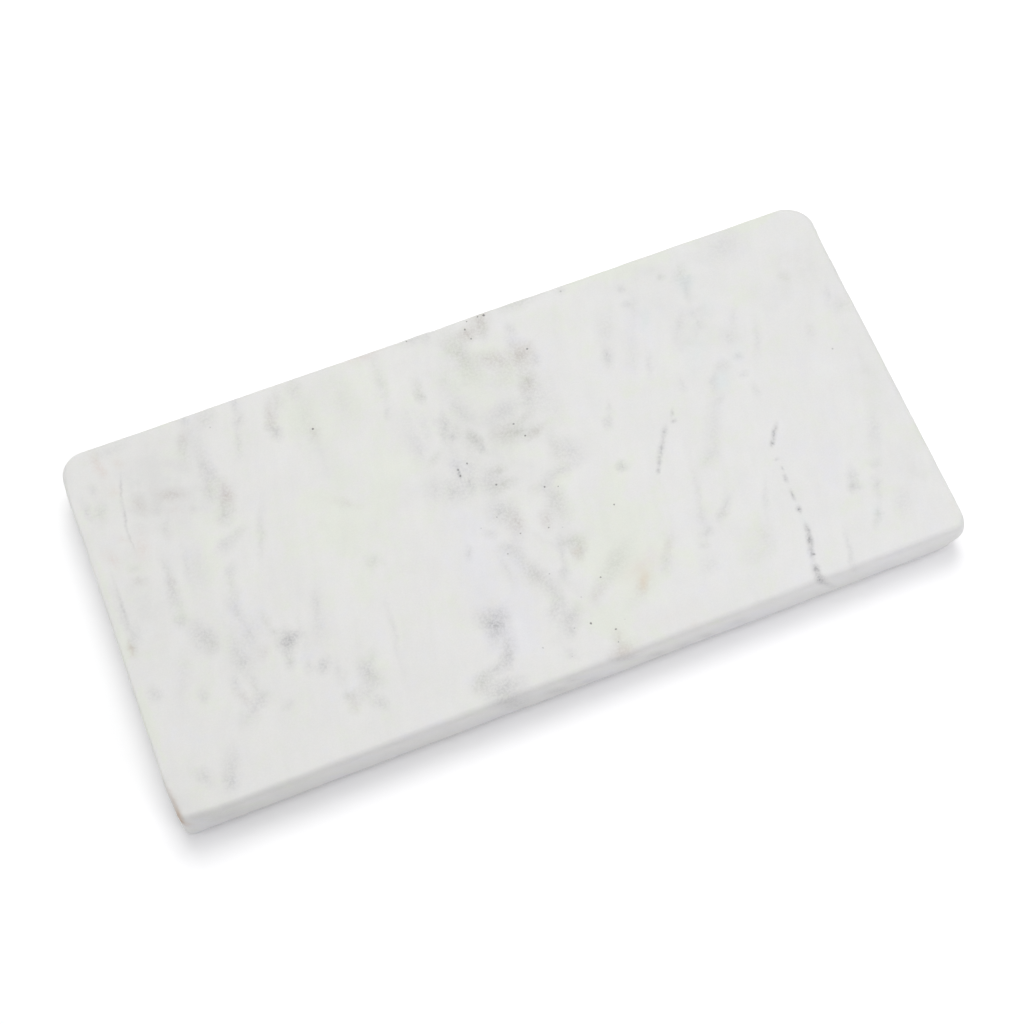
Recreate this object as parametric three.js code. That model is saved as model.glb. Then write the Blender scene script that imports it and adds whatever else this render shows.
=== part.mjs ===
// Marble chopping board: one honed stone slab that stands on four stick-on bumper feet.
// Units are millimetres and +Z is up. The long front side faces -Y.
// The origin is under the middle of the board, on the surface that it stands on.
import * as THREE from "three";

// Stone slab
const slabLength = 305;
const slabWidth = 148;
const slabThickness = 19;

// The corners were rounded by hand, so no two are quite alike
const frontLeftRadius = 4.2;
const frontRightRadius = 4.6;
const backRightRadius = 12;
const backLeftRadius = 9;

// The upper edge is worn to a tall soft round, and the lower one is only eased
const topRoundInward = 2.5;
const topRoundDown = 3.5;
const bottomEase = 0.6;

// Bumper feet, moulded with a draft and a soft shoulder round the flat tip
const footDiameter = 10;
const footTipDiameter = 8.5;
const footHeight = 1.5;
const footShoulderRadius = 0.5;
const footSetIn = 24;

// Adhesive discs that hold the feet to the stone
const adhesiveThickness = 0.25;
const adhesiveRim = 0.4;

// Facets
const cornerSteps = 14;
const topRoundSteps = 8;
const bottomEaseSteps = 3;
const roundSteps = 48;
const shoulderSteps = 5;

const slabBottom = footHeight + adhesiveThickness;

const marble = new THREE.MeshStandardMaterial({ color: 0xe2e3e0, roughness: 0.55, metalness: 0 });
const bumperRubber = new THREE.MeshStandardMaterial({ color: 0xd6d4cc, roughness: 0.4, metalness: 0 });
const adhesiveFilm = new THREE.MeshStandardMaterial({ color: 0xe9e4d6, roughness: 0.7, metalness: 0 });

// The four corners anticlockwise from the front left, each with the angle at which its arc starts
function slabCorners() {
  return [
    { sideX: -1, sideY: -1, radius: frontLeftRadius, start: Math.PI },
    { sideX: 1, sideY: -1, radius: frontRightRadius, start: 1.5 * Math.PI },
    { sideX: 1, sideY: 1, radius: backRightRadius, start: 0 },
    { sideX: -1, sideY: 1, radius: backLeftRadius, start: 0.5 * Math.PI },
  ];
}

// The plan outline, drawn in from the sides by the given amount
function slabOutline(inset) {
  const points = [];
  for (const { sideX, sideY, radius, start } of slabCorners()) {
    const centreX = sideX * (slabLength / 2 - radius);
    const centreY = sideY * (slabWidth / 2 - radius);
    for (let step = 0; step <= cornerSteps; step++) {
      const angle = start + (step / cornerSteps) * (Math.PI / 2);
      const x = centreX + (radius - inset) * Math.cos(angle);
      const y = centreY + (radius - inset) * Math.sin(angle);
      points.push(new THREE.Vector2(x, y));
    }
  }
  return points;
}

// The edge in section, from the underside up to the work face: how far in, and how high
function edgeSection() {
  const section = [];
  for (let step = 0; step <= bottomEaseSteps; step++) {
    const angle = (step / bottomEaseSteps) * (Math.PI / 2);
    section.push({ inset: bottomEase * (1 - Math.sin(angle)), height: bottomEase * (1 - Math.cos(angle)) });
  }
  const roundFoot = slabThickness - topRoundDown;
  for (let step = 0; step <= topRoundSteps; step++) {
    const angle = (step / topRoundSteps) * (Math.PI / 2);
    section.push({ inset: topRoundInward * (1 - Math.cos(angle)), height: roundFoot + topRoundDown * Math.sin(angle) });
  }
  return section;
}

// A loft of the outline up the edge section, closed by the underside and the work face
function slabGeometry() {
  const section = edgeSection();
  const rings = section.map(({ inset }) => slabOutline(inset));
  const ringSize = rings[0].length;
  const positions = [];
  rings.forEach((ring, level) => {
    for (const point of ring) {
      positions.push(point.x, point.y, section[level].height);
    }
  });
  const faces = [];
  for (let level = 0; level + 1 < rings.length; level++) {
    for (let here = 0; here < ringSize; here++) {
      const next = (here + 1) % ringSize;
      const low = level * ringSize;
      const high = low + ringSize;
      faces.push(low + here, low + next, high + next);
      faces.push(low + here, high + next, high + here);
    }
  }
  const last = (rings.length - 1) * ringSize;
  for (const [a, b, c] of THREE.ShapeUtils.triangulateShape(rings[0], [])) {
    faces.push(a, c, b);
  }
  for (const [a, b, c] of THREE.ShapeUtils.triangulateShape(rings[rings.length - 1], [])) {
    faces.push(last + a, last + b, last + c);
  }
  const geometry = new THREE.BufferGeometry();
  geometry.setAttribute("position", new THREE.Float32BufferAttribute(positions, 3));
  geometry.setIndex(faces);
  geometry.computeVertexNormals();
  return geometry;
}

// A turned profile with its axis stood up along Z
function turned(profile) {
  return new THREE.LatheGeometry(profile, roundSteps).rotateX(Math.PI / 2);
}

// One bumper foot, flat tip down
function footGeometry() {
  const tipRadius = footTipDiameter / 2;
  const profile = [new THREE.Vector2(0, 0)];
  for (let step = 0; step <= shoulderSteps; step++) {
    const angle = (step / shoulderSteps) * (Math.PI / 2);
    const x = tipRadius - footShoulderRadius * (1 - Math.sin(angle));
    const y = footShoulderRadius * (1 - Math.cos(angle));
    profile.push(new THREE.Vector2(x, y));
  }
  profile.push(new THREE.Vector2(footDiameter / 2, footHeight));
  profile.push(new THREE.Vector2(0, footHeight));
  return turned(profile);
}

// One adhesive disc, a little smaller than the foot that it holds
function adhesiveGeometry() {
  const radius = footDiameter / 2 - adhesiveRim;
  return turned([
    new THREE.Vector2(0, 0),
    new THREE.Vector2(radius, 0),
    new THREE.Vector2(radius, adhesiveThickness),
    new THREE.Vector2(0, adhesiveThickness),
  ]);
}

function namedMesh(name, geometry, material) {
  const mesh = new THREE.Mesh(geometry, material);
  mesh.name = name;
  return mesh;
}

// A foot and its disc, placed together under one corner of the slab
function footUnderCorner(corner, sideX, sideY) {
  const group = new THREE.Group();
  const foot = namedMesh(`foot_${corner}`, footGeometry(), bumperRubber);
  const disc = namedMesh(`adhesive_disc_${corner}`, adhesiveGeometry(), adhesiveFilm);
  disc.position.z = footHeight;
  group.add(foot, disc);
  group.position.set(sideX * (slabLength / 2 - footSetIn), sideY * (slabWidth / 2 - footSetIn), 0);
  return group;
}

const board = new THREE.Group();
const slab = namedMesh("marble_slab", slabGeometry(), marble);
slab.position.z = slabBottom;
board.add(slab);
board.add(footUnderCorner("front_left", -1, -1));
board.add(footUnderCorner("front_right", 1, -1));
board.add(footUnderCorner("back_right", 1, 1));
board.add(footUnderCorner("back_left", -1, 1));

export default board;
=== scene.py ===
import math

import bmesh
import bpy
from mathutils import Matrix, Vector, noise


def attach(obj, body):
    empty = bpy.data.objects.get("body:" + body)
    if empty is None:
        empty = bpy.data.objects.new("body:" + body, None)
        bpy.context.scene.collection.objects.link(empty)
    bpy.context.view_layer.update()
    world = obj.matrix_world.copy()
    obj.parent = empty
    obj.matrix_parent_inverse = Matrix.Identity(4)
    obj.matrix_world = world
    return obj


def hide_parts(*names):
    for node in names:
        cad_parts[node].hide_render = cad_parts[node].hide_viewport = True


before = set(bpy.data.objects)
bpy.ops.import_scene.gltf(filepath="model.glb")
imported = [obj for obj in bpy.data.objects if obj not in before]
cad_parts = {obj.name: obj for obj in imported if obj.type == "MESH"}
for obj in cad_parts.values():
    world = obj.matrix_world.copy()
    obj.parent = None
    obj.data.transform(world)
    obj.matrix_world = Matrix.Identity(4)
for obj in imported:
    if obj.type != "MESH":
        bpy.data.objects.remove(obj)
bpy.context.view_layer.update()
print("frame loaded:", len(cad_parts), "solids")


# Small helpers for modelling by operators

def clearSelection():
    if bpy.context.object and bpy.context.object.mode != "OBJECT":
        bpy.ops.object.mode_set(mode="OBJECT")
    bpy.ops.object.select_all(action="DESELECT")


def pick(piece, kind, test):
    bpy.ops.mesh.select_mode(type=kind)
    bpy.ops.mesh.select_all(action="DESELECT")
    shape = bmesh.from_edit_mesh(piece.data)
    parts = {"VERT": shape.verts, "EDGE": shape.edges, "FACE": shape.faces}[kind]
    for part in parts:
        if test(part):
            part.select_set(True)
    shape.select_flush_mode()
    bmesh.update_edit_mesh(piece.data)


def smoothStep(low, high, value):
    share = min(max((value - low) / (high - low), 0.0), 1.0)
    return share * share * (3 - 2 * share)


def finishPiece(piece, name, material, slotName, *nodeNames):
    piece.name = name
    piece.data.name = name
    piece.data.materials.clear()
    piece.data.materials.append(material)
    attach(piece, "root")
    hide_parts(*nodeNames)


# Small helpers for shader nodes

def newNode(tree, kind, settings=None, values=None):
    node = tree.nodes.new(kind)
    for name, value in (settings or {}).items():
        setattr(node, name, value)
    for name, value in (values or {}).items():
        if isinstance(value, bpy.types.NodeSocket):
            tree.links.new(value, node.inputs[name])
        else:
            node.inputs[name].default_value = value
    return node


def doMath(tree, operation, *values, clamp=False):
    settings = {"operation": operation, "use_clamp": clamp}
    return newNode(tree, "ShaderNodeMath", settings, dict(enumerate(values))).outputs[0]


def mixColour(tree, share, first, second):
    return newNode(tree, "ShaderNodeMix", {"data_type": "RGBA"}, {0: share, 6: first, 7: second}).outputs[2]


def mixShaders(tree, share, first, second):
    values = {0: share, 1: first.outputs[0], 2: second.outputs[0]}
    return newNode(tree, "ShaderNodeMixShader", None, values).outputs[0]


def scaleVector(tree, vector, factor):
    values = {0: vector, "Scale": factor}
    return newNode(tree, "ShaderNodeVectorMath", {"operation": "SCALE"}, values).outputs[0]


def partsOf(tree, vector):
    return newNode(tree, "ShaderNodeSeparateXYZ", None, {0: vector}).outputs


def noiseNode(tree, place, scale, detail, roughness):
    values = {"Vector": place, "Scale": scale, "Detail": detail, "Roughness": roughness}
    return newNode(tree, "ShaderNodeTexNoise", None, values)


def noiseOf(tree, place, scale, detail=3.0, roughness=0.55):
    return noiseNode(tree, place, scale, detail, roughness).outputs["Fac"]


def noiseColours(tree, place, scale, detail=3.0, roughness=0.55):
    return noiseNode(tree, place, scale, detail, roughness).outputs["Color"]


def addBump(tree, shader, strength, distance, height):
    values = {"Strength": strength, "Distance": distance, "Height": height}
    bump = newNode(tree, "ShaderNodeBump", None, values)
    tree.links.new(bump.outputs[0], shader.inputs["Normal"])


def spreadOut(tree, value, low, high, toLow=0.0, toHigh=1.0):
    values = {"Value": value, "From Min": low, "From Max": high, "To Min": toLow, "To Max": toHigh}
    return newNode(tree, "ShaderNodeMapRange", {"interpolation_type": "SMOOTHSTEP"}, values).outputs[0]


def newMaterial(name):
    material = bpy.data.materials.new(name)
    material.use_nodes = True
    tree = material.node_tree
    return material, tree, tree.nodes["Principled BSDF"]


# The slab, in metres: a block with four different corners,
# a tall worn round on top and a small ease below

slabSettings = {
    "length": 0.305,
    "width": 0.148,
    "thickness": 0.019,
    "lift": 0.00175,  # feet and adhesive
    "corners": {  # side in x, side in y, radius
        "frontLeft": (-1, -1, 0.0042),
        "frontRight": (1, -1, 0.0046),
        "backRight": (1, 1, 0.012),
        "backLeft": (-1, 1, 0.009),
    },
    "cornerSegments": 14,
    "topRoundInward": 0.0025,
    "topRoundDown": 0.0035,
    "topRoundSteps": 9,
    "bottomEase": 0.0006,
    "bottomEaseSteps": 3,
    "gridStep": 0.0025,
    "sideCuts": (0.0045, 0.0075, 0.0105, 0.0135),  # heights above the underside
    "tolerance": 0.0001,
    "wobble": 0.00028,  # how far the hand-rubbed edge strays
    "slowWaves": 38,  # to the metre
    "quickWaves": 130,
    "wobbleCore": 0.014,  # the edge strays to and from a core that lies this far in
    "edgeReach": 0.006,
    "leftCrisp": 0.5,  # the left edge was rubbed down less: its round is this much smaller
    "crispClear": 0.006,  # but not at its two ends
    "crispRun": 0.012,
    "backRoll": 0.00012,  # the back edge was rubbed down a little further in
    "rollReach": 0.0048,
    "faceReach": 0.006,  # how far below the work face its own wear is felt
    "ripple": 0.00003,
    "rippleWaves": 55,
    "chips": (  # middle, radius of the flake's hollow
        ((-0.0275, -0.0800, 0.0262), 0.0083),
        ((-0.0020, 0.0920, 0.0253), 0.0200),
        ((0.1660, 0.0620, 0.0234), 0.0145),
        ((0.1680, 0.0465, 0.0238), 0.0166),
        ((0.1655, 0.0310, 0.0232), 0.0139),
        ((-0.1570, -0.0440, 0.0252), 0.0066),
        ((0.0460, -0.0790, 0.0250), 0.0066),
    ),
    "chipMargin": 0.003,
    "chipRough": 0.02,
    "chipWaves": 900,
    "pulls": (  # where the corners stray from a plain round: middle, reach, pull
        ((-0.1525, -0.0740, 0.0100), 0.0170, (0.0011, 0.0001, 0.0)),
        ((-0.1512, -0.0727, 0.0070), 0.0110, (-0.0006, -0.0005, 0.0)),
        ((-0.1520, -0.0690, 0.0208), 0.0070, (0.0002, 0.0, -0.0012)),
        ((-0.1500, -0.0740, 0.0230), 0.0130, (0.0, 0.0013, -0.0003)),
        ((0.1525, -0.0740, 0.0208), 0.0075, (-0.0009, 0.0006, -0.0005)),
        ((0.1512, -0.0727, 0.0120), 0.0075, (0.0006, -0.0004, 0.0)),
        ((0.1512, -0.0727, 0.0018), 0.0085, (-0.0009, 0.0009, 0.0003)),
        ((0.1500, 0.0650, 0.0170), 0.0110, (0.0006, 0.0, 0.0)),
        ((-0.1525, 0.0540, 0.0150), 0.0170, (-0.0004, 0.0, 0.0)),
    ),
}


def roundOver(rise, inward, steps):
    # a face is inset and raised step by step round a quarter of an ellipse
    lastIn = 0.0
    lastUp = 0.0
    for step in range(1, steps + 1):
        angle = step / steps * math.pi / 2
        nowIn = inward * (1 - math.cos(angle))
        nowUp = rise * math.sin(angle)
        bpy.ops.mesh.inset(thickness=nowIn - lastIn, depth=nowUp - lastUp, use_even_offset=True)
        lastIn, lastUp = nowIn, nowUp


def cutGrid(settings):
    step = settings["gridStep"]
    for axis, size in ((0, settings["length"]), (1, settings["width"])):
        count = int(size / 2 / step)
        for index in range(-count, count + 1):
            spot = [0.0, 0.0, 0.0]
            way = [0.0, 0.0, 0.0]
            spot[axis] = index * step
            way[axis] = 1.0
            bpy.ops.mesh.select_all(action="SELECT")
            bpy.ops.mesh.bisect(plane_co=spot, plane_no=way)
    for height in settings["sideCuts"]:
        bpy.ops.mesh.select_all(action="SELECT")
        bpy.ops.mesh.bisect(plane_co=(0, 0, settings["lift"] + height), plane_no=(0, 0, 1))


def wearByHand(piece, settings):
    halfX = settings["length"] / 2
    halfY = settings["width"] / 2
    top = settings["lift"] + settings["thickness"]
    core = settings["wobbleCore"]
    edge = settings["edgeReach"]
    slowWaves = settings["slowWaves"]
    quickWaves = settings["quickWaves"]
    rippleWaves = settings["rippleWaves"]
    roundIn = settings["topRoundInward"] + settings["tolerance"]
    roundDown = settings["topRoundDown"] + settings["tolerance"]
    for vert in piece.data.vertices:
        spot = vert.co
        # the sides stray in and out
        coreX = min(max(spot.x, core - halfX), halfX - core)
        coreY = min(max(spot.y, core - halfY), halfY - core)
        out = Vector((spot.x - coreX, spot.y - coreY, 0))
        if out.length > core - edge:
            near = smoothStep(core - edge, core, out.length)
            slow = noise.noise(Vector((spot.x * slowWaves, spot.y * slowWaves, 1.7)))
            quick = noise.noise(Vector((spot.x * quickWaves, spot.y * quickWaves, spot.z * 60)))
            stray = settings["wobble"] * (0.6 * slow + 0.4 * quick - 0.5)
            spot += out.normalized() * stray * near
        # the left edge is crisper
        inward = spot.x + halfX
        below = top - spot.z
        if inward < roundIn and below < roundDown:
            along = smoothStep(0.0, settings["crispRun"], halfY - settings["crispClear"] - abs(spot.y))
            keep = 1 - settings["leftCrisp"] * along
            spot.x = inward * keep - halfX
            spot.z = top - below * keep
        # the work face rolls off at the back and is not quite flat
        high = smoothStep(top - settings["faceReach"], top, spot.z)
        fromBack = 1 - smoothStep(0, settings["rollReach"], halfY - spot.y)
        spot.z -= high * settings["backRoll"] * fromBack
        uneven = noise.noise(Vector((spot.x * rippleWaves, spot.y * rippleWaves, 4.2)))
        spot.z += high * settings["ripple"] * uneven
        for middle, reach, pull in settings["pulls"]:
            near = 1 - smoothStep(0.0, reach, (spot - Vector(middle)).length)
            spot += Vector(pull) * near
        for middle, radius in settings["chips"]:
            away = spot - Vector(middle)
            rough = radius * (1 + settings["chipRough"] * noise.noise(spot * settings["chipWaves"]))
            if away.length < rough:
                spot += away.normalized() * (rough - away.length)


def makeSlab(settings, material):
    clearSelection()
    body = settings["thickness"] - settings["topRoundDown"] - settings["bottomEase"]
    middle = settings["lift"] + settings["bottomEase"] + body / 2
    size = (settings["length"], settings["width"], body)
    bpy.ops.mesh.primitive_cube_add(size=1, location=(0, 0, middle), scale=size)
    piece = bpy.context.object
    bpy.ops.object.transform_apply(location=True, rotation=True, scale=True)
    bpy.ops.object.mode_set(mode="EDIT")
    limitX = settings["length"] / 2 - settings["tolerance"]
    limitY = settings["width"] / 2 - settings["tolerance"]
    for sideX, sideY, radius in settings["corners"].values():
        pick(piece, "EDGE", lambda edge: all(
            v.co.x * sideX > limitX and v.co.y * sideY > limitY for v in edge.verts))
        bpy.ops.mesh.bevel(offset=radius, segments=settings["cornerSegments"], affect="EDGES")
    pick(piece, "FACE", lambda face: face.normal.z > 0.9)
    roundOver(settings["topRoundDown"], settings["topRoundInward"], settings["topRoundSteps"])
    pick(piece, "FACE", lambda face: face.normal.z < -0.9)
    roundOver(settings["bottomEase"], settings["bottomEase"], settings["bottomEaseSteps"])
    cutGrid(settings)
    for chip, radius in settings["chips"]:
        reach = radius + settings["chipMargin"]
        pick(piece, "FACE", lambda face: (face.calc_center_median() - Vector(chip)).length < reach)
        bpy.ops.mesh.subdivide(number_cuts=3)
    bpy.ops.mesh.select_all(action="SELECT")
    bpy.ops.mesh.remove_doubles(threshold=0.00001)
    bpy.ops.mesh.normals_make_consistent(inside=False)
    bpy.ops.object.mode_set(mode="OBJECT")
    wearByHand(piece, settings)
    bpy.ops.object.shade_smooth_by_angle(angle=math.radians(40))
    finishPiece(piece, "honedSlab", material, "marble", "marble_slab")
    print("slab shaped:", len(piece.data.polygons), "faces")


# Marks in the stone, read in millimetres on the work face:
# across, up, half length, half width, turn in degrees, strength

greyMarks = [
    # far left
    (-143, 47, 3, 1.7, 80, 0.4), (-147.5, 49, 4, 0.8, 97, 0.4), (-143.5, 56, 1.4, 0.9, 90, 0.3),
    (-127.8, 7, 6.5, 1.6, 88, 0.42), (-127.3, 17, 5, 1.2, 88, 0.25), (-147.4, 4, 9, 0.7, 90, 0.25),
    (-145.3, -26, 2.2, 1.2, 95, 0.42), (-138.5, -61, 2.6, 1.5, 120, 0.45),
    (-128.8, -61, 5, 1.9, 70, 0.4), (-130.2, -65.4, 2, 1.6, 120, 0.55), (-129.5, -33, 2, 1.1, 80, 0.35),
    (-138, 21.5, 1.2, 0.9, 0, 0.2), (-134, -22, 6, 2, 70, 0.18), (-145.4, -3, 3, 1.8, 70, 0.3),
    (-128.6, -3, 1.6, 1.2, 80, 0.45),
    # left streaks near the back
    (-102, 65, 5, 1.6, 95, 0.12), (-103.5, 72, 2.2, 1.4, 80, 0.4), (-102.5, 49, 8, 1.9, 83, 0.42),
    (-100.4, 46.5, 5, 1.4, 102, 0.3), (-103, 40, 3, 1.4, 90, 0.35), (-84, 64, 1.9, 1.2, 60, 0.5),
    (-83.5, 70.5, 3, 0.8, 85, 0.5), (-87, 55.5, 4.2, 0.8, 74, 0.45), (-73, 54.2, 2.2, 1.4, 100, 0.7),
    (-123.5, 40.5, 1.8, 1.3, 60, 0.35), (-111, 36, 1.2, 0.8, 90, 0.3), (-104, 18.5, 3, 1.8, 20, 0.35),
    (-91, 18, 8, 0.9, 70, 0.32), (-120, 17, 7, 0.6, 84, 0.25), (-105.5, 8, 2, 1, 60, 0.35),
    (-107.5, 2, 6, 1.1, 85, 0.25), (-122.5, 33, 3, 1.3, 80, 0.25), (-96, 68.5, 4, 2.4, 70, 0.35),
    (-117, 14, 9, 2.6, 85, 0.17), (-133, 70, 6, 2, 10, 0.22),
    # left smudges towards the front
    (-123, -10.8, 4.3, 2.6, 110, 0.55), (-125.4, -15.4, 3, 2, 110, 0.22),
    (-108.8, -7, 4.4, 1.4, 97, 0.45), (-112.8, -22, 6.5, 2.6, 95, 0.34),
    (-117.8, -32, 2, 1.4, 80, 0.35), (-112.3, -26.3, 1.9, 1.4, 60, 0.4),
    (-107.6, -17.4, 3.4, 1.5, 90, 0.45), (-104, -15, 5, 1.1, 106, 0.15),
    (-95.6, -25, 2.8, 2.1, 80, 1.15), (-93, -23.3, 2, 1.1, 20, 0.8), (-95, -20.5, 1.9, 1.5, 0, 0.18),
    (-97, -32, 2.6, 1.2, 80, 0.55), (-89.8, -24, 6, 0.9, 84, 0.22), (-86.4, -37.4, 2.4, 1.5, 60, 0.72),
    (-91.5, -36, 2.6, 1.2, 85, 0.35), (-81.5, -15, 4, 0.8, 70, 0.35), (-72.7, -46.4, 3.2, 2, 100, 0.7),
    (-70.3, -42, 3, 1.1, 55, 0.22), (-75, -52, 5, 2, 30, 0.3), (-82, -42, 4, 1.2, 85, 0.25),
    (-72.5, -58, 2.3, 1.5, 130, 0.5), (-115, -44, 4.4, 2, 40, 0.4), (-112, -36, 4, 1, 95, 0.4),
    (-110.8, -41.5, 2, 1.8, 0, 0.35), (-102.5, -47, 1.2, 0.9, 0, 0.28), (-59, -34, 10, 0.5, 82, 0.3),
    (-57, -7, 2.2, 1.8, 0, 0.3), (-83, -23, 6, 2.5, 70, 0.22),
    # middle band, back half
    (-18, 48, 1.6, 0.9, 90, 0.78), (-31.7, 46, 1.3, 0.5, 60, 0.48), (9, 31.4, 6, 2.2, 13, 0.48),
    (-5.6, 37.5, 5, 2.6, 108, 0.36), (-12.8, 34.5, 3.5, 1, 80, 0.66), (-12.2, 28.5, 1, 0.9, 0, 0.84),
    (-14.6, 30, 7, 1.2, 95, 0.29), (-4.5, 23.5, 3.6, 1, 102, 0.72), (-3.6, 19.8, 1, 0.8, 0, 0.6),
    (-18.2, 7.5, 4, 3.6, 0, 0.48), (-20.5, 8.6, 2.6, 1.3, 95, 0.41), (-12.5, 8, 2.6, 1, 80, 0.72),
    (-5.3, 7, 4, 3.2, 60, 0.5), (26.8, 7.4, 3.6, 2.8, 120, 0.41), (44, 12.8, 1.9, 0.9, 75, 0.74),
    (46.6, 18.6, 1.3, 0.8, 70, 0.42), (24.8, 62.5, 2, 1, 100, 0.48), (29, 47, 2, 1.2, 70, 0.36),
    (19.6, 32.4, 3.2, 1.4, 85, 0.43), (-26, 35, 8, 3, 80, 0.17), (24, 32, 6, 4, 60, 0.26),
    (-11, 14.5, 5, 3, 60, 0.3), (-15.4, 16.4, 3.6, 1.6, 85, 0.43), (-6, 51, 8, 4, 80, 0.14),
    (-29.5, 60, 11, 1.4, 86, 0.26), (31, 72, 6, 1.4, 0, 0.42), (48.5, 71, 1.6, 1.2, 0, 0.48),
    (-12, 72, 4, 1.6, 0, 0.48), (-6, 71, 2.4, 1.4, 60, 0.36), (22.5, 57, 2.6, 1.6, 80, 0.3),
    (20, 0.8, 6, 1.4, 12, 0.42), (12, -2.6, 3, 1.2, 0, 0.34), (28, 24, 4, 3, 60, 0.18),
    (-26, 11, 4, 1.8, 70, 0.36), (-25.5, 28, 3.4, 1.3, 80, 0.3), (-20, 37, 5, 1.5, 80, 0.24),
    # middle band, front half
    (-6.2, -6, 4, 3.2, 100, 0.66), (-9.5, -20, 2, 1.6, 0, 0.36), (-7.4, -23.6, 4.4, 2, 100, 0.38),
    (-3.4, -32.4, 4, 1.6, 112, 0.48), (0, -41, 4.4, 1.7, 97, 0.54), (-1.8, -48, 3.4, 1.8, 55, 0.54),
    (1.8, -53.4, 3.4, 2.3, 50, 0.66), (0.2, -58.5, 1.8, 1.1, 70, 0.48), (8, -31, 5.5, 0.8, 78, 0.42),
    (6.8, -36, 1.4, 0.9, 80, 0.43), (14, -8, 3, 2.2, 60, 0.36), (42.4, -46, 3, 1.6, 60, 0.34),
    (42, -5.8, 1.3, 1.1, 0, 0.9), (-27.4, -43, 3.4, 2.4, 95, 0.38), (-22.2, -42.4, 3, 2.3, 80, 0.41),
    (-23.4, -47, 5, 2.4, 55, 0.7), (-24.6, -45.4, 3.2, 2.8, 85, 0.66),
    (-23.8, -57.3, 4.4, 1.6, 62, 0.9), (-30, -61.4, 4.2, 1.3, 25, 0.7),
    (-30.2, -69.4, 5, 2.5, -3, 1.02), (-23, -17, 1.9, 0.7, 75, 0.48), (-13, -12.5, 1.7, 1.2, 150, 0.36),
    (-2.8, -66, 2, 0.8, 110, 0.36), (-12.5, -28, 5, 1, 93, 0.3),
    # right, back half
    (54.2, 37.8, 2.7, 1.1, 75, 0.72), (71, 62.5, 1.1, 0.9, 0, 0.41), (69.7, 55.7, 1.2, 1, 0, 0.43),
    (72.2, 54.5, 4, 0.9, 70, 0.18), (66, 41, 9.5, 1.4, 69, 0.12), (68, 29, 3.5, 0.8, 75, 0.32),
    (86.6, 62, 1, 0.8, 0, 0.43), (94.2, 54, 3.6, 1, 75, 0.34), (91.8, 43, 2, 1.6, 0, 0.23),
    (85.5, 40.6, 4.6, 1.2, 60, 0.29), (92.3, 38, 2, 0.9, 60, 0.31), (101, 29, 2.4, 2.1, 0, 0.31),
    (101, 20, 1.1, 0.9, 0, 0.54), (106, 36, 4, 0.7, 70, 0.25), (110.3, 24.5, 5.2, 0.8, 70, 0.27),
    (94, 18.5, 2, 1.4, 160, 0.31), (88, 14, 3.6, 0.9, 62, 0.34), (86.6, 6, 2.2, 1, 40, 0.22),
    (100, 12.5, 1.2, 0.9, 0, 0.32), (76, 17, 1.8, 0.8, 75, 0.27), (114, 66, 7, 5, 30, 0.23),
    (144, 32, 3, 0.7, 70, 0.27), (146.5, 26, 3, 2, 20, 0.27), (130.5, 20, 2.2, 1, 70, 0.23),
    (101, 5, 2.2, 0.9, 85, 0.27), (58.5, 49.4, 5, 2.4, 72, 0.2), (63, 33, 3, 1.5, 75, 0.13),
    # right, front half
    (73, -14, 3.4, 1.8, 30, 0.28), (72, -33.5, 3.7, 0.9, 45, 0.4), (61, -41, 1.4, 1.2, 0, 0.45),
    (61.5, -35, 2.4, 0.9, 75, 0.28), (58, -45, 1.2, 1, 0, 0.3), (64, -25, 12, 0.7, 78, 0.22),
    (87, -36, 5, 0.6, 68, 0.3), (120, -41, 3, 1.1, 75, 0.42), (119.3, -44.5, 1.3, 1.1, 0, 0.6),
    (130, -38.5, 1.5, 1.2, 40, 0.35), (127, -46.5, 2.2, 1, 75, 0.45), (125.5, -51, 1.1, 0.9, 0, 0.3),
    (106.2, -67, 6, 0.5, 74, 0.5), (136, -25, 7, 2, 65, 0.25), (80, -4, 9, 2, 65, 0.2),
    (133, -57, 4, 2.5, 60, 0.2), (57, -53, 3, 1.8, 40, 0.22), (75, -56, 3.4, 2.6, 0, 0.15),
]

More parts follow.
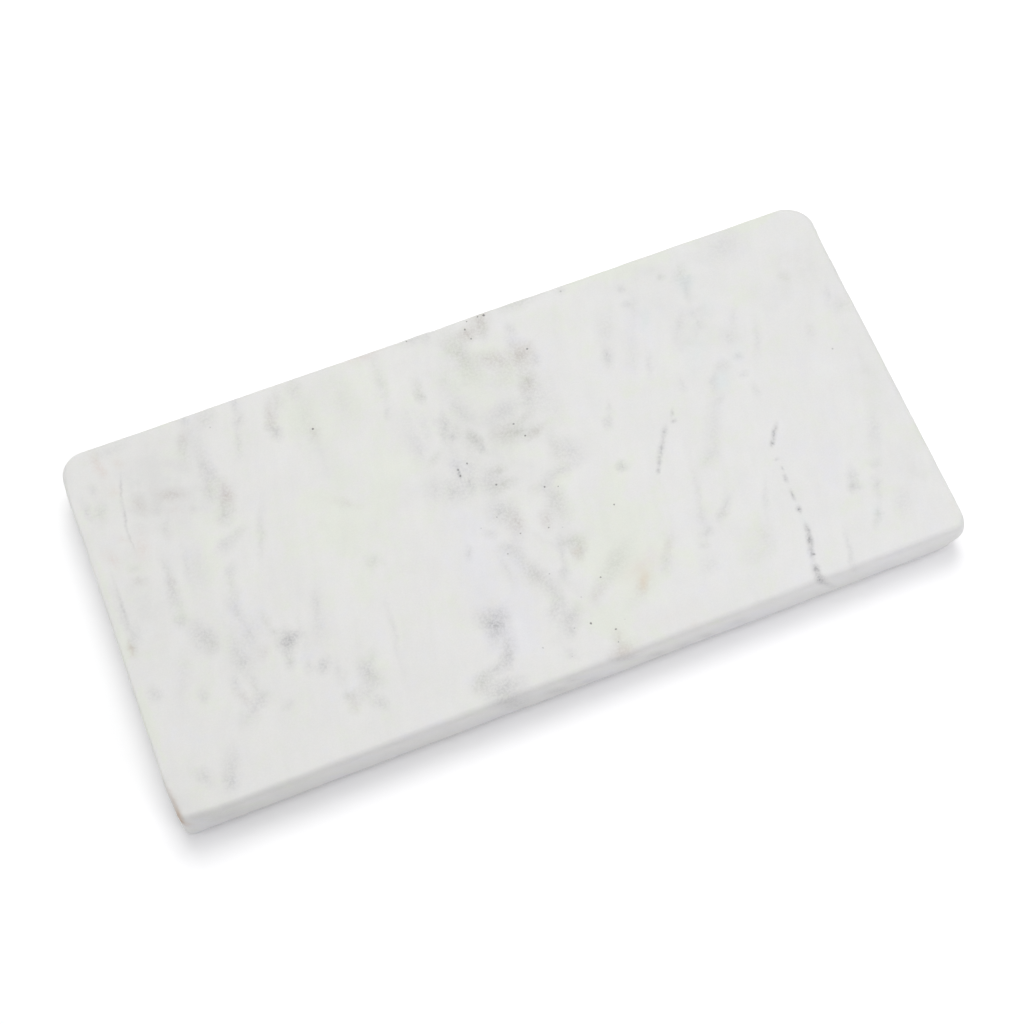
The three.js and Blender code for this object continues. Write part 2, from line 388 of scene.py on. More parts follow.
greenMarks = [
    (-107.5, 58, 3.6, 1.4, 80, 0.4), (-68, 66, 5, 1.5, 75, 0.3), (-61, 68, 2.6, 1.8, 70, 0.45),
    (-61, 56, 7, 3.4, 80, 0.22), (-100.8, 29.4, 2.6, 2, 40, 0.62), (-100, 33.5, 2.6, 1, 60, 0.4),
    (-98.5, 21.5, 2, 1.2, 30, 0.3), (-121.5, -16, 2.6, 1.5, 80, 0.5), (-100.3, -14.5, 3, 1, 95, 0.4),
    (-99, -19, 1, 0.9, 0, 0.45), (-81.5, -51.5, 1.5, 1.2, 0, 0.5), (-17.4, 52, 3.6, 1.3, 86, 0.48),
    (2.6, 58.6, 8.5, 2.8, 98, 0.74), (14, 66, 3, 1.4, 80, 0.48), (8.6, 22.2, 5, 3.1, 10, 0.67),
    (12, 21.5, 1.3, 1, 0, 0.66), (15.5, 26.3, 2.6, 0.9, 15, 0.48), (-10.3, 31, 2.6, 1.2, 100, 0.36),
    (-1.6, 3.7, 3.2, 1.3, 5, 0.84), (-1.2, 9.5, 2, 0.9, 0, 0.6), (22, 9.5, 6, 1.9, 84, 0.43),
    (-21.5, 22.5, 2.7, 1, 35, 0.42), (-5, -33.5, 4, 2, 105, 0.48), (-5.8, 24.6, 3.2, 2, 105, 0.48),
    (13, -25.6, 2.8, 2, 165, 0.6), (15.4, -28.8, 3.2, 1.6, 50, 0.5), (24.6, -40.4, 7, 2.4, 35, 0.48),
    (14.6, -12.5, 4.6, 2.4, 86, 0.48), (-36.6, -64, 3, 2.2, 50, 0.66), (94, 61.5, 2.4, 1.3, 40, 0.5),
    (95.5, 57.8, 2.2, 1.8, 0, 0.22), (69, -36.5, 1.3, 1, 30, 0.45), (80, -50, 5, 1.8, 85, 0.25),
    (122, -58, 2.7, 1, 60, 0.6), (131, 45, 1.5, 1.2, 0, 0.28), (-46, 58, 9, 4, 90, 0.16),
    (17, 45, 8, 5, 0, 0.26), (22.3, 40.6, 2.8, 1.8, 60, 0.54), (17, 19.5, 3.5, 1.5, 20, 0.36),
]

brownMarks = [
    (-106, 64, 2.4, 1.4, 70, 0.38), (-73, 60.5, 4.8, 1.3, 77, 0.65), (-129, 44.6, 2.6, 1.8, 100, 0.45),
    (-117, 44.4, 3.4, 1.7, 162, 0.62), (-97.8, 37, 3.6, 1.6, 95, 0.75),
    (-127.5, 11.6, 1.4, 1, 80, 0.36), (-138.4, 16.2, 1.5, 1.1, 150, 0.5),
    (-147.9, -7, 1.6, 0.8, 85, 0.5), (-105, -25, 1.8, 1.4, 60, 0.32), (-81, -55.5, 2, 1, 80, 0.35),
    (-117, -38, 2.8, 1.2, 120, 0.45), (8.5, 66.3, 2.3, 1.9, 20, 1.12), (14.8, 70.3, 4, 2.2, 80, 0.73),
    (12, 53.4, 4, 2.2, -25, 0.5), (16, 51.6, 3, 2.6, -50, 0.45), (6, 23.6, 3, 2, 0, 0.28),
    (24.4, 51, 3.4, 2.8, 60, 1.12), (22, 38.2, 3.2, 1.8, 68, 0.5), (17, 19.2, 3, 1, 20, 0.39),
    (-2.8, -12.3, 4.2, 1.9, 78, 0.78), (8, -15, 2.8, 1.4, 78, 0.65), (14.6, -31, 2.4, 1.4, 50, 0.56),
    (15, -48, 3.4, 1.4, 40, 0.28), (30, -53, 4.4, 1.8, 40, 0.31), (46, -39.5, 2.6, 1, 60, 0.43),
    (15, -66.5, 2.6, 1.8, 90, 0.39), (-58, 17.5, 4, 1, -35, 0.25), (-59.6, 48.6, 1.9, 1.3, 85, 0.45),
    (15, -71, 4, 1.6, 0, 0.56),
]

veinMarks = [
    # broken dark vein on the right, running off the front edge
    (100.2, -14.1, 4.4, 1.1, 54, 0.62), (97.8, -17.6, 1.4, 0.9, 60, 0.65),
    (96.8, -24, 1.2, 0.8, 0, 0.3), (97.2, -28, 1.2, 0.6, 90, 0.36), (96.6, -32, 2, 0.9, 85, 0.46),
    (96.3, -39.2, 2.3, 0.9, 88, 0.52), (96, -45.3, 1.5, 1.1, 90, 0.8),
    (95.8, -53.6, 2.6, 1.1, 85, 0.62), (94.7, -57.6, 2.5, 1.4, 80, 0.9),
    (93.2, -62.2, 3, 1.3, 74, 0.55), (93.8, -63.2, 0.8, 0.6, 0, 0.6), (92.2, -68.6, 2.4, 1.6, 85, 0.72),
    (91.6, -72.6, 2.4, 1.9, 85, 0.7),
    # shorter vein beside it
    (67.2, 4.4, 1.2, 0.9, 0, 0.45), (68, 7.6, 2.2, 0.8, 60, 0.26), (62.4, 1.6, 2.2, 1.3, 52, 0.32),
    (58.3, -4.6, 4.8, 1.3, 57, 0.34), (55.7, -9, 2.6, 1.1, 60, 0.4), (53.9, -12.2, 1.4, 0.8, 60, 0.55),
    (60.2, -1.8, 9, 0.9, 57, 0.12),
    # dark thread in the middle band
    (-15.2, 13.6, 2.6, 0.6, 84, 0.7), (-12.6, 9.6, 1, 0.6, 80, 0.3),
    # faint threads near the left edge
    (-133.4, 53, 6.5, 0.7, 74, 0.26), (-135.3, 42, 6, 0.7, 80, 0.32), (-136, 33, 5, 0.6, 93, 0.2),
    (-146.4, 9, 13, 0.8, 90, 0.22),
]

# across, up, radius, strength
darkSpecks = [
    (-95, 65, 0.8, 0.45), (-59.5, 50.5, 0.7, 1), (9, 64, 0.6, 0.8), (8.2, 68.5, 0.6, 0.9),
    (10, 71.5, 0.5, 0.8), (14.6, 72, 0.7, 0.8), (17, 71.7, 0.85, 0.9), (-14.4, 72, 0.5, 0.8),
    (27.3, 52.2, 0.6, 1), (-11, 16.4, 0.65, 0.8), (11, 25, 0.6, 1), (13.2, 19, 0.6, 1),
    (-4, 4.5, 0.6, 1), (12.3, -2.8, 0.55, 1), (17, -4.4, 0.45, 0.7), (-8.5, -7.5, 0.5, 0.6),
    (-2.8, -16.6, 0.55, 0.7), (-10, -22.3, 0.6, 0.6), (7.7, -18.3, 0.55, 0.8), (1.2, -35, 0.6, 0.5),
    (18, -43, 0.6, 0.8), (8.5, -47.5, 0.6, 0.45), (33.5, -18.6, 0.55, 0.8), (8, -58, 0.65, 1),
    (15.5, -63.3, 0.65, 0.8), (14.5, -68, 0.6, 0.6), (-11.5, -60.2, 0.6, 0.5), (1.8, -57.5, 0.5, 0.5),
    (-15.5, -9.5, 0.5, 0.5), (48.5, 70.5, 0.7, 0.45), (135.6, 10, 0.75, 0.5), (-15, 15.2, 0.7, 0.8),
    (-15.1, 12.6, 0.7, 0.9), (20, -61, 0.5, 0.4), (-3, -67, 0.5, 0.4), (12.5, -20, 0.45, 0.5),
]

orangeStains = [
    (32.2, -49.6, 3.2, 1.9, 68, 1.0), (30.6, -52.4, 2, 1.4, 60, 0.6), (32.5, -45, 8, 4.4, 20, 0.3),
    (15, -72.5, 3.6, 2, 0, 0.5), (42, -72, 3, 1.6, 0, 0.25), (149, -64, 4, 1.2, 85, 0.25),
    (14, -30.5, 2.6, 1.2, 50, 0.3),
]

# iron stain that runs over the front left corner:
# across, up, below the work face, three half sizes, strength
rustStains = [
    (-151.5, -63, 1, 1.2, 5, 2.5, 0.35), (-151, -68.5, 3, 1.6, 3.6, 3.5, 0.7),
    (-151.5, -71, 5, 2, 2.2, 3.4, 1.2), (-148.2, -7, 0, 0.8, 2.6, 3, 0.35),
]

pinkPatches = [
    (-138.5, 66, 4.6, 1.8, 100, 0.45), (-131, 63.5, 1.8, 1.5, 0, 0.3), (-136, 53, 2.4, 2, 0, 0.33),
    (-138, 62, 2, 2, 0, 0.3), (-144.5, 28, 3.7, 2, 118, 0.4), (-138.5, 34, 2.7, 1.2, 155, 0.25),
    (-133, 29, 5.4, 2, 80, 0.33), (-97.8, 37, 2.5, 1.5, 95, 0.3), (-32, 71.5, 6, 1.8, 5, 0.35),
    (-118, 38, 2, 1.5, 0, 0.2), (34, -44, 9, 3, 20, 0.2), (36, -66, 8, 3, 0, 0.1),
    (30.9, -50.4, 2.6, 1.5, 68, 0.13),
]

lilacPatches = [
    (-20, -20, 20, 12, 90, 1.0), (-24, -52, 16, 12, 60, 0.8), (-109, -14, 9, 6, 100, 0.8),
    (-88, -31, 6, 4, 40, 0.6), (24.5, 58, 4, 3.4, 0, 1.2), (92.5, -62, 8, 4, 80, 0.6),
    (68, 44, 18, 9, 70, 0.6), (-16, 13, 6, 4, 70, 0.5), (122, 14, 14, 8, 60, 0.4),
    (110, -32, 20, 12, 70, 0.5), (-14, -48, 12, 8, 80, 0.8), (-98, 38, 3, 2, 90, 0.6),
]

tealPatches = [
    (95, 57, 7, 5, 75, 0.9), (86, 27, 9, 5, 60, 0.9), (97, 42, 9, 3, 75, 0.7),
    (74, 48, 7, 2.4, 70, 0.9), (91, 13, 5, 4, 60, 0.8), (101, 21, 5, 3.5, 60, 0.6),
    (122, -57, 6, 4, 60, 0.5), (96, -50, 4, 3, 80, 0.3),
]

greenWashes = [
    (-62, 12, 26, 20, 80, 0.9), (-44, 58, 24, 10, 20, 0.9), (4, 48, 18, 12, 60, 0.9),
    (-66, 58, 9, 8, 70, 0.8), (8, 18, 14, 9, 0, 0.6), (30, -36, 28, 16, 70, 1.2),
    (14, -62, 10, 8, 0, 0.7), (-104, 32, 14, 7, 80, 0.6), (-40, 30, 22, 10, 80, 0.6),
    (76, 71, 28, 4, 0, 0.9), (132, 71, 14, 2.5, 0, 0.9), (62, 22, 9, 5, -20, 0.6),
    (-112, 12, 10, 5, 70, 0.5), (-150, 20, 30, 1.6, 90, 0.9), (-150, -40, 22, 1.4, 90, 0.8),
    (-128, 3, 5, 3, 80, 0.4), (79, -42, 8, 3, 85, 0.5),
]

dimWashes = [
    (-122, 48, 26, 20, 70, 1.0), (-140, 5, 24, 10, 90, 0.6), (-104, 60, 12, 8, 80, 0.4),
    (140, 50, 16, 14, 60, 0.5), (126, 34, 22, 16, 80, 0.3), (76, 56, 20, 12, 70, 0.25),
    (80, 66, 34, 5, 0, 0.3), (144, -4, 38, 7, 90, 0.35), (-62, 32, 10, 5, 0, 0.4),
    (-60, 42, 12, 8, 70, 0.4), (142, -45, 14, 10, 70, 0.4), (2, 20, 30, 18, 90, 0.5),
    (94, 40, 18, 12, 70, 0.4),
]

# bands where a thin haze gathers
hazeBands = [
    (2, 35, 42, 24, 95, 1.3), (4, -30, 40, 22, 88, 1.2), (-104, 45, 34, 16, 85, 1.0),
    (-108, -20, 30, 16, 85, 0.8), (90, 35, 32, 18, 70, 1.0), (-72, -45, 16, 8, 80, 0.6),
    (-62, 55, 16, 12, 80, 0.8), (125, -45, 20, 10, 65, 0.7),
]

# clouds that show on the front side: across, below the work face, half length, half height, strength
frontClouds = [
    (-29, 4, 4.5, 5, 0.5), (-26.5, 10, 3.5, 4, 0.35), (-12, 10.5, 4, 4, 0.45), (-5, 5, 3, 2.5, 0.35),
    (1.5, 14, 3.5, 3, 0.35), (28, 13, 2.5, 3, 0.4), (38, 14, 3, 3, 0.25), (48, 14, 2, 3, 0.45),
    (15, 3, 3, 5, 0.4), (60, 11, 2.5, 3.5, 0.3), (-136, 6, 5, 5, 0.2), (-138, 10, 4, 4, 0.2),
]

marbleSettings = {
    "topHeight": 20.75,  # millimetres above the table
    "dip": 0.55,  # veins lean this far across for each millimetre of depth
    "smudgeSpread": 2.3,  # a smudge fades out this far beyond its stated size
    "washSpread": 1.4,
    "veinSpread": 1.7,
    "stainSpread": 1.9,
    "washDepth": 45.0,  # how deep each kind of mark goes, in millimetres
    "smudgeDepth": 9.0,
    "pinkDepth": 8.0,
    "veinDepth": 24.0,
    "speckDepth": 1.5,
    "cloudReach": 5.0,
    "grainLean": 76,  # degrees
    "warmWhite": (0.790, 0.788, 0.766, 1),
    "coolWhite": (0.790, 0.790, 0.773, 1),
    "greenWhite": (0.777, 0.797, 0.728, 1),
    "lilacWhite": (0.786, 0.784, 0.796, 1),
    "tealWhite": (0.752, 0.781, 0.772, 1),
    "dimWhite": (0.742, 0.741, 0.720, 1),
    "haze": (0.66, 0.665, 0.645, 1),
    "grey": (0.38, 0.38, 0.388, 1),
    "green": (0.42, 0.435, 0.37, 1),
    "brown": (0.43, 0.385, 0.352, 1),
    "vein": (0.34, 0.335, 0.345, 1),
    "speck": (0.20, 0.195, 0.19, 1),
    "orange": (0.70, 0.51, 0.33, 1),
    "rust": (0.46, 0.31, 0.20, 1),
    "pink": (0.70, 0.61, 0.56, 1),
    "smudgeGain": 0.52,
    "smudgeHaze": 0.38,  # millimetres
    "smudgeCurve": 0.75,  # below 1 a smudge's soft skirt counts for more
    "washGain": 1.8,
    "hazeGain": 0.30,
    "hazeLeast": 0.12,  # haze outside the bands
    "veinGain": 1.1,
    "orangeGain": 0.35,
    "rustGain": 0.8,
    "hueSteer": 0.25,  # how far a wash pulls the mottling to its tint
    "paintedCoolSides": -0.007,  # painted cool shade: the sides are tinted a little cooler than the work face, standing in for the cooler light that falls on them
}


def addMark(tree, total, place, centre, halfSizes, turn, strength, falloff):
    # a soft blob that is strongest at its centre and gone at its half sizes
    local = newNode(tree, "ShaderNodeMapping", {"vector_type": "TEXTURE"}, {
        "Vector": place, "Location": centre, "Rotation": (0, 0, math.radians(turn)), "Scale": halfSizes})
    blob = newNode(tree, "ShaderNodeTexGradient", {"gradient_type": falloff}, {"Vector": local.outputs[0]})
    return doMath(tree, "MULTIPLY_ADD", blob.outputs["Fac"], strength, total)


def markDensity(tree, place, marks, depthReach, spread, haze=0.0, falloff="QUADRATIC_SPHERE"):
    # a haze widens each mark all round and thins it by as much
    total = 0.0
    for across, up, halfLength, halfWidth, turn, strength in marks:
        wide = halfWidth + haze
        halfSizes = ((halfLength + haze) * spread, wide * spread, depthReach)
        thinned = strength * halfWidth / wide
        total = addMark(tree, total, place, (across, up, 0.0), halfSizes, turn, thinned, falloff)
    return total


def speckDensity(tree, place, specks, depthReach):
    total = 0.0
    for across, up, radius, strength in specks:
        halfSizes = (radius, radius, depthReach)
        total = addMark(tree, total, place, (across, up, 0.0), halfSizes, 0, strength, "SPHERICAL")
    return total


def rustDensity(tree, place, stains, settings):
    total = 0.0
    for across, up, below, halfAcross, halfUp, halfBelow, strength in stains:
        centre = (across - settings["dip"] * below, up, below)
        halfSizes = [size * settings["smudgeSpread"] for size in (halfAcross, halfUp, halfBelow)]
        total = addMark(tree, total, place, centre, halfSizes, 0, strength, "QUADRATIC_SPHERE")
    return total


def cloudDensity(tree, place, clouds, settings):
    total = 0.0
    front = -1000 * slabSettings["width"] / 2
    spread = settings["smudgeSpread"]
    for across, below, halfLength, halfHeight, strength in clouds:
        centre = (across - settings["dip"] * below, front, below)
        halfSizes = (halfLength * spread, settings["cloudReach"], halfHeight * spread)
        total = addMark(tree, total, place, centre, halfSizes, 0, strength, "QUADRATIC_SPHERE")
    return total


def stonePlaces(tree, settings):
    # object coordinates in millimetres, then leaning with the veins:
    # across, up, depth below the work face
    plain = scaleVector(tree, newNode(tree, "ShaderNodeTexCoord").outputs["Object"], 1000.0)
    parts = partsOf(tree, plain)
    depth = doMath(tree, "SUBTRACT", settings["topHeight"], parts[2])
    across = doMath(tree, "MULTIPLY_ADD", depth, -settings["dip"], parts[0])
    leaning = newNode(tree, "ShaderNodeCombineXYZ", None, {0: across, 1: parts[1], 2: depth})
    return plain, leaning.outputs[0]


def strayed(tree, place, scale, detail, amount):
    wander = noiseColours(tree, place, scale, detail)
    centred = newNode(tree, "ShaderNodeVectorMath", {"operation": "SUBTRACT"}, {
        0: wander, 1: (0.5, 0.5, 0.5)})
    moved = newNode(tree, "ShaderNodeVectorMath", {"operation": "MULTIPLY_ADD"}, {
        0: centred.outputs[0], 1: (amount, amount, amount), 2: place})
    return moved.outputs[0]


def stoneGround(tree, settings, plain, leaning, ragged):
    # warm white on the left and cooler on the right, with broad washes and faint drawn-out grain
    spread = settings["washSpread"]
    deep = settings["washDepth"]
    rightwards = partsOf(tree, strayed(tree, leaning, 0.025, 3.0, 150.0))[0]
    cool = spreadOut(tree, rightwards, -40.0, 90.0)
    colour = mixColour(tree, cool, settings["warmWhite"], settings["coolWhite"])
    mottle = spreadOut(tree, noiseOf(tree, leaning, 0.11, 4.0, 0.6), 0.3, 0.7, 0.3, 1.5)
    green = markDensity(tree, ragged, greenWashes, deep, spread, falloff="SPHERICAL")
    lilac = markDensity(tree, ragged, lilacPatches, deep, spread, falloff="SPHERICAL")
    hue = noiseOf(tree, ragged, 0.075, 5.0, 0.68)
    hue = doMath(tree, "MULTIPLY_ADD", doMath(tree, "SUBTRACT", green, lilac), settings["hueSteer"], hue)
    # painted cool shade: the hue drifts towards lilac with depth below the work face, so the sides read
    # cooler
    hue = doMath(tree, "MULTIPLY_ADD", partsOf(tree, leaning)[2], settings["paintedCoolSides"], hue)
    colour = mixColour(tree, spreadOut(tree, hue, 0.49, 0.71), colour, settings["greenWhite"])
    colour = mixColour(tree, spreadOut(tree, hue, 0.47, 0.25), colour, settings["lilacWhite"])
    for marks, tint in ((tealPatches, "tealWhite"), (dimWashes, "dimWhite")):
        density = doMath(tree, "MULTIPLY", markDensity(tree, ragged, marks, deep, spread), mottle)
        share = doMath(tree, "MULTIPLY", density, settings["washGain"], clamp=True)
        colour = mixColour(tree, share, colour, settings[tint])
    drift = spreadOut(tree, noiseOf(tree, ragged, 0.1, 5.0, 0.66), 0.46, 0.72)
    band = doMath(tree, "ADD", markDensity(tree, ragged, hazeBands, deep, spread), settings["hazeLeast"])
    veil = doMath(tree, "MULTIPLY", doMath(tree, "MULTIPLY", drift, band), settings["hazeGain"], clamp=True)
    colour = mixColour(tree, veil, colour, settings["haze"])
    patches = noiseColours(tree, leaning, 0.17, 3.0, 0.6)
    tinted = newNode(tree, "ShaderNodeMix", {"data_type": "RGBA", "blend_type": "SOFT_LIGHT"}, {
        0: 0.05, 6: colour, 7: patches})
    drawn = newNode(tree, "ShaderNodeMapping", {"vector_type": "TEXTURE"}, {
        "Vector": strayed(tree, leaning, 0.05, 2.0, 7.0),
        "Rotation": (0, 0, math.radians(settings["grainLean"])),
        "Scale": (22.0, 4.0, 9.0),
    }).outputs[0]
    streaks = spreadOut(tree, noiseOf(tree, drawn, 1.0, 5.0, 0.62), 0.3, 0.75, 1.004, 0.984)
    clouds = spreadOut(tree, noiseOf(tree, leaning, 0.065, 4.0, 0.6), 0.3, 0.7, 0.99, 1.01)
    shade = doMath(tree, "MULTIPLY", streaks, clouds)
    crystals = spreadOut(tree, noiseOf(tree, plain, 1.7, 3.0, 0.65), 0.25, 0.75, 0.982, 1.018)
    shade = doMath(tree, "MULTIPLY", shade, crystals)
    return scaleVector(tree, tinted.outputs[2], shade)


def honedMarble(settings):
    material, tree, stone = newMaterial("honedMarble")
    plain, leaning = stonePlaces(tree, settings)
    ragged = strayed(tree, strayed(tree, leaning, 0.1, 2.0, 3.0), 0.34, 2.5, 2.8)
    threaded = strayed(tree, leaning, 0.5, 3.0, 1.5)
    grain = spreadOut(tree, noiseOf(tree, plain, 1.0, 4.0, 0.7), 0.3, 0.7, 0.5, 1.5)
    colour = stoneGround(tree, settings, plain, leaning, ragged)

    # smudges, each kind with its own tint, broken up by the grain
    spread = settings["smudgeSpread"]
    deep = settings["smudgeDepth"]
    pink = markDensity(tree, ragged, pinkPatches, settings["pinkDepth"], spread)
    pink = doMath(tree, "MULTIPLY", pink, grain, clamp=True)
    colour = mixColour(tree, pink, colour, settings["pink"])
    for marks, tint in ((greyMarks, "grey"), (greenMarks, "green"), (brownMarks, "brown")):
        density = markDensity(tree, ragged, marks, deep, spread, settings["smudgeHaze"])
        if tint == "grey":
            density = doMath(tree, "ADD", density, cloudDensity(tree, ragged, frontClouds, settings))
        skirted = doMath(tree, "POWER", density, settings["smudgeCurve"])
        broken = doMath(tree, "MULTIPLY", skirted, grain)
        share = doMath(tree, "MULTIPLY", broken, settings["smudgeGain"], clamp=True)
        colour = mixColour(tree, share, colour, settings[tint])
    orange = markDensity(tree, ragged, orangeStains, deep, settings["stainSpread"])
    rust = rustDensity(tree, ragged, rustStains, settings)
    for density, tint in ((orange, "orange"), (rust, "rust")):
        stain = doMath(tree, "MULTIPLY", density, settings[tint + "Gain"], clamp=True)
        colour = mixColour(tree, stain, colour, settings[tint])

    # dark veins and small black specks
    vein = markDensity(tree, threaded, veinMarks, settings["veinDepth"], settings["veinSpread"])
    vein = doMath(tree, "MULTIPLY", vein, grain)
    vein = doMath(tree, "MULTIPLY", vein, settings["veinGain"], clamp=True)
    colour = mixColour(tree, vein, colour, settings["vein"])
    jittered = strayed(tree, leaning, 1.6, 1.0, 0.5)
    specks = speckDensity(tree, jittered, darkSpecks, settings["speckDepth"])
    colour = mixColour(tree, spreadOut(tree, specks, 0.12, 0.75), colour, settings["speck"])
    tree.links.new(colour, stone.inputs["Base Color"])

    # honed finish: nearly matt, a little rougher in the grain, with faint rubbing waves
    patchy = noiseOf(tree, plain, 0.06, 3.0)
    tree.links.new(spreadOut(tree, patchy, 0.3, 0.7, 0.5, 0.6), stone.inputs["Roughness"])
    fine = noiseOf(tree, plain, 2.6, 3.0, 0.6)
    waves = noiseOf(tree, plain, 0.09, 2.0)
    relief = doMath(tree, "MULTIPLY_ADD", waves, 6.0, fine)
    addBump(tree, stone, 0.06, 0.0003, relief)
    stone.inputs["Specular IOR Level"].default_value = 0.4
    stone.inputs["Subsurface Weight"].default_value = 0.08
    stone.inputs["Subsurface Radius"].default_value = (1.0, 0.85, 0.7)
    stone.inputs["Subsurface Scale"].default_value = 0.0015
    print("marble mixed:", len(tree.nodes), "nodes")
    return material


# Bumper feet and the adhesive discs that hold them

footSettings = {
    "diameter": 0.010,
    "tipShare": 0.85,  # the tip's diameter against the base
    "height": 0.0015,
    "shoulder": 0.00045,
    "baseEase": 0.00008,
    "sides": 64,
    "ringInset": 0.0011,  # shallow moulded ring in the tip
    "ringWidth": 0.0005,
    "ringDepth": 0.00012,
    "setIn": 0.024,
}

discSettings = {
    "diameter": 0.0092,
    "thickness": 0.00025,
    "edgeEase": 0.00006,
    "sides": 64,
}

cornerSides = {
    "front_left": (-1, -1),
    "front_right": (1, -1),
    "back_left": (-1, 1),
    "back_right": (1, 1),
}


def bumperRubber():
    material, tree, rubber = newMaterial("bumperRubber")
    place = newNode(tree, "ShaderNodeTexCoord").outputs["Object"]
    cloudy = spreadOut(tree, noiseOf(tree, place, 420.0, 3.0), 0.3, 0.7)
    colour = mixColour(tree, cloudy, (0.64, 0.63, 0.57, 1), (0.72, 0.71, 0.66, 1))
    dust = spreadOut(tree, noiseOf(tree, place, 2600.0, 2.0), 0.6, 0.75, 0.0, 0.35)
    colour = mixColour(tree, dust, colour, (0.46, 0.44, 0.40, 1))
    tree.links.new(colour, rubber.inputs["Base Color"])
    tree.links.new(spreadOut(tree, cloudy, 0.0, 1.0, 0.34, 0.48), rubber.inputs["Roughness"])
    skin = noiseOf(tree, place, 5200.0, 2.0)
    addBump(tree, rubber, 0.12, 0.0001, skin)
    rubber.inputs["Subsurface Weight"].default_value = 0.25
    rubber.inputs["Subsurface Scale"].default_value = 0.001
    return material


def adhesiveFilm():
    material, tree, film = newMaterial("adhesiveFilm")
    place = newNode(tree, "ShaderNodeTexCoord").outputs["Object"]
    fibres = newNode(tree, "ShaderNodeMapping", None, {"Vector": place, "Scale": (900, 5200, 900)})
    weave = spreadOut(tree, noiseOf(tree, fibres.outputs[0], 1.0, 3.0), 0.35, 0.65)
    colour = mixColour(tree, weave, (0.72, 0.68, 0.58, 1), (0.84, 0.81, 0.73, 1))
    tree.links.new(colour, film.inputs["Base Color"])
    tree.links.new(spreadOut(tree, weave, 0.0, 1.0, 0.6, 0.75), film.inputs["Roughness"])
    addBump(tree, film, 0.1, 0.0001, weave)
    return material


def makeFoot(settings):
    clearSelection()
    height = settings["height"]
    bpy.ops.mesh.primitive_cylinder_add(vertices=settings["sides"], radius=settings["diameter"] / 2,
                                        depth=height, location=(0, 0, height / 2))
    foot = bpy.context.object
    bpy.ops.object.transform_apply(location=True, rotation=True, scale=True)
    bpy.ops.object.mode_set(mode="EDIT")
    pick(foot, "FACE", lambda face: face.normal.z < -0.9)
    share = settings["tipShare"]
    bpy.ops.transform.resize(value=(share, share, 1), center_override=(0, 0, 0))
    pick(foot, "EDGE", lambda edge: all(v.co.z < 0.00001 for v in edge.verts))
    bpy.ops.mesh.bevel(offset=settings["shoulder"], segments=6, affect="EDGES")
    pick(foot, "EDGE", lambda edge: all(v.co.z > height - 0.00001 for v in edge.verts))
    bpy.ops.mesh.bevel(offset=settings["baseEase"], segments=2, affect="EDGES")
    pick(foot, "FACE", lambda face: face.normal.z < -0.9 and len(face.verts) > 8)
    bpy.ops.mesh.inset(thickness=settings["ringInset"], depth=0)
    bpy.ops.mesh.inset(thickness=settings["ringWidth"] / 2, depth=-settings["ringDepth"])
    bpy.ops.mesh.inset(thickness=settings["ringWidth"] / 2, depth=settings["ringDepth"])
    bpy.ops.object.mode_set(mode="OBJECT")
    bpy.ops.object.shade_smooth_by_angle(angle=math.radians(35))
    return foot


def makeDisc(settings, base):
    clearSelection()
    thick = settings["thickness"]
    bpy.ops.mesh.primitive_cylinder_add(vertices=settings["sides"], radius=settings["diameter"] / 2,
                                        depth=thick, location=(0, 0, base + thick / 2))
    disc = bpy.context.object
    bpy.ops.object.transform_apply(location=True, rotation=True, scale=True)
    bpy.ops.object.mode_set(mode="EDIT")
    pick(disc, "EDGE", lambda edge: abs(edge.verts[0].co.z - edge.verts[1].co.z) < 0.00001)
    bpy.ops.mesh.bevel(offset=settings["edgeEase"], segments=2, affect="EDGES")
    bpy.ops.object.mode_set(mode="OBJECT")
    bpy.ops.object.shade_smooth_by_angle(angle=math.radians(35))
    return disc


def copyTo(original, x, y):
    clearSelection()
    original.select_set(True)
    bpy.context.view_layer.objects.active = original
    bpy.ops.object.duplicate_move(TRANSFORM_OT_translate={"value": (x, y, 0)})
    piece = bpy.context.object
    bpy.ops.object.transform_apply(location=True, rotation=True, scale=True)
    return piece


def makeFeet(foot, disc):
    rubber = bumperRubber()
    film = adhesiveFilm()
    footPattern = makeFoot(foot)
    discPattern = makeDisc(disc, foot["height"])
    reachX = slabSettings["length"] / 2 - foot["setIn"]
    reachY = slabSettings["width"] / 2 - foot["setIn"]
    for corner, (sideX, sideY) in cornerSides.items():
        piece = copyTo(footPattern, sideX * reachX, sideY * reachY)
        finishPiece(piece, "bumper_" + corner, rubber, "bumper_rubber", "foot_" + corner)
        piece = copyTo(discPattern, sideX * reachX, sideY * reachY)
        finishPiece(piece, "film_" + corner, film, "adhesive", "adhesive_disc_" + corner)
    bpy.data.objects.remove(footPattern)
    bpy.data.objects.remove(discPattern)
    print("feet placed:", len(cornerSides))


# Studio: white floor, soft light from above and all round, camera at the photograph's angle

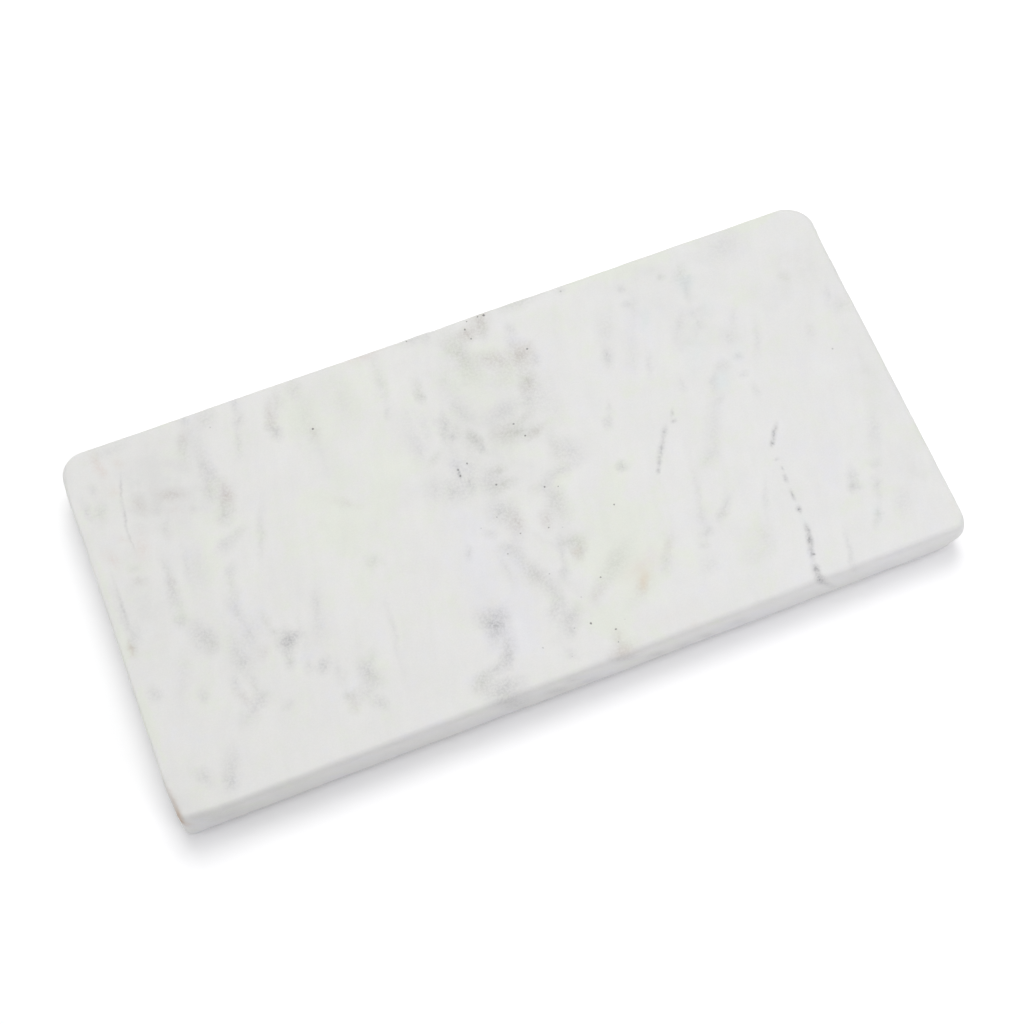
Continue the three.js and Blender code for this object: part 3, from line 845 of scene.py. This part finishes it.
studioSettings = {
    "floorSize": 8.0,
    "floorBounce": (0.88, 0.88, 0.88, 1),
    "floorSeen": (1.14, 1.14, 1.14, 1),
    "floorFar": (3.5, 3.5, 3.5, 1),  # seen far from the board, where the lamps no longer reach
    "floorFade": (0.40, 1.20),
    "skyColour": (0.985, 0.985, 1.0, 1),
    "skyLow": 0.10,  # strength at the horizon
    "skyHigh": 0.62,  # strength overhead
    "lamps": {  # place, size, watts, colour
        "overheadLamp": ((0.16, 0.66, 1.40), 1.0, 10.0, (1.0, 1.0, 1.0)),
        "backLamp": ((0.20, 1.10, 0.32), 0.8, 0.9, (1.0, 1.0, 1.0)),
        "rightLamp": ((1.15, -0.10, 0.60), 0.8, 1.2, (1.0, 1.0, 1.0)),
        "frontLamp": ((0.22, -0.55, 0.28), 0.4, 0.91, (0.965, 0.95, 1.0)),
        "leftLamp": ((-1.20, 0.10, 0.38), 0.8, 2.6, (1.0, 1.0, 0.99)),
    },
    "cameraPlace": (-0.10115, -0.24396, 0.66679),
    "cameraTurn": (21.6135, -0.4273, -21.5654),
    "lens": 66.544,
    "sensor": 36.0,
    "clipStart": 0.01,
}


def seenDirectly(tree):
    path = newNode(tree, "ShaderNodeLightPath")
    seen = doMath(tree, "MAXIMUM", path.outputs["Is Camera Ray"], path.outputs["Is Glossy Ray"])
    return doMath(tree, "MAXIMUM", seen, path.outputs["Is Transmission Ray"])


def makeFloor(settings):
    clearSelection()
    bpy.ops.mesh.primitive_plane_add(size=settings["floorSize"], location=(0, 0, 0))
    floor = bpy.context.object
    floor.name = "studioFloor"
    material, tree, unused = newMaterial("paleFloor")
    tree.nodes.remove(unused)
    bounce = newNode(tree, "ShaderNodeBsdfDiffuse", None, {"Color": settings["floorBounce"]})
    place = newNode(tree, "ShaderNodeTexCoord").outputs["Object"]
    away = newNode(tree, "ShaderNodeVectorMath", {"operation": "LENGTH"}, {0: place}).outputs["Value"]
    far = spreadOut(tree, away, *settings["floorFade"])
    white = mixColour(tree, far, settings["floorSeen"], settings["floorFar"])
    seen = newNode(tree, "ShaderNodeBsdfDiffuse", None, {"Color": white})
    both = mixShaders(tree, seenDirectly(tree), bounce, seen)
    tree.links.new(both, tree.nodes["Material Output"].inputs["Surface"])
    floor.data.materials.append(material)


def makeSky(settings):
    world = bpy.data.worlds.new("studioSky")
    world.use_nodes = True
    bpy.context.scene.world = world
    tree = world.node_tree
    light = tree.nodes["Background"]
    light.inputs["Color"].default_value = settings["skyColour"]
    heading = newNode(tree, "ShaderNodeTexCoord").outputs["Generated"]
    height = doMath(tree, "MAXIMUM", partsOf(tree, heading)[2], 0.0)
    rise = settings["skyHigh"] - settings["skyLow"]
    strength = doMath(tree, "MULTIPLY_ADD", height, rise, settings["skyLow"])
    tree.links.new(strength, light.inputs["Strength"])
    white = newNode(tree, "ShaderNodeBackground", None, {"Color": (1, 1, 1, 1), "Strength": 1.0})
    both = mixShaders(tree, seenDirectly(tree), light, white)
    tree.links.new(both, tree.nodes["World Output"].inputs["Surface"])


def makeLamps(settings):
    for name, (place, size, watts, tint) in settings["lamps"].items():
        clearSelection()
        bpy.ops.object.light_add(type="AREA", location=place)
        lamp = bpy.context.object
        lamp.name = name
        lamp.data.shape = "DISK"
        lamp.data.size = size
        lamp.data.energy = watts
        lamp.data.color = tint
        lamp.rotation_euler = Vector(place).to_track_quat("Z", "Y").to_euler()


def makeCamera(settings):
    clearSelection()
    turn = [math.radians(angle) for angle in settings["cameraTurn"]]
    bpy.ops.object.camera_add(location=settings["cameraPlace"], rotation=turn)
    camera = bpy.context.object
    camera.name = "photoCamera"
    camera.data.sensor_width = settings["sensor"]
    camera.data.lens = settings["lens"]
    camera.data.clip_start = settings["clipStart"]
    bpy.context.scene.camera = camera


makeCamera(studioSettings)
makeFloor(studioSettings)
makeSky(studioSettings)
makeLamps(studioSettings)
bpy.context.scene.view_settings.view_transform = "Standard"
print("studio ready")
makeSlab(slabSettings, honedMarble(marbleSettings))
makeFeet(footSettings, discSettings)
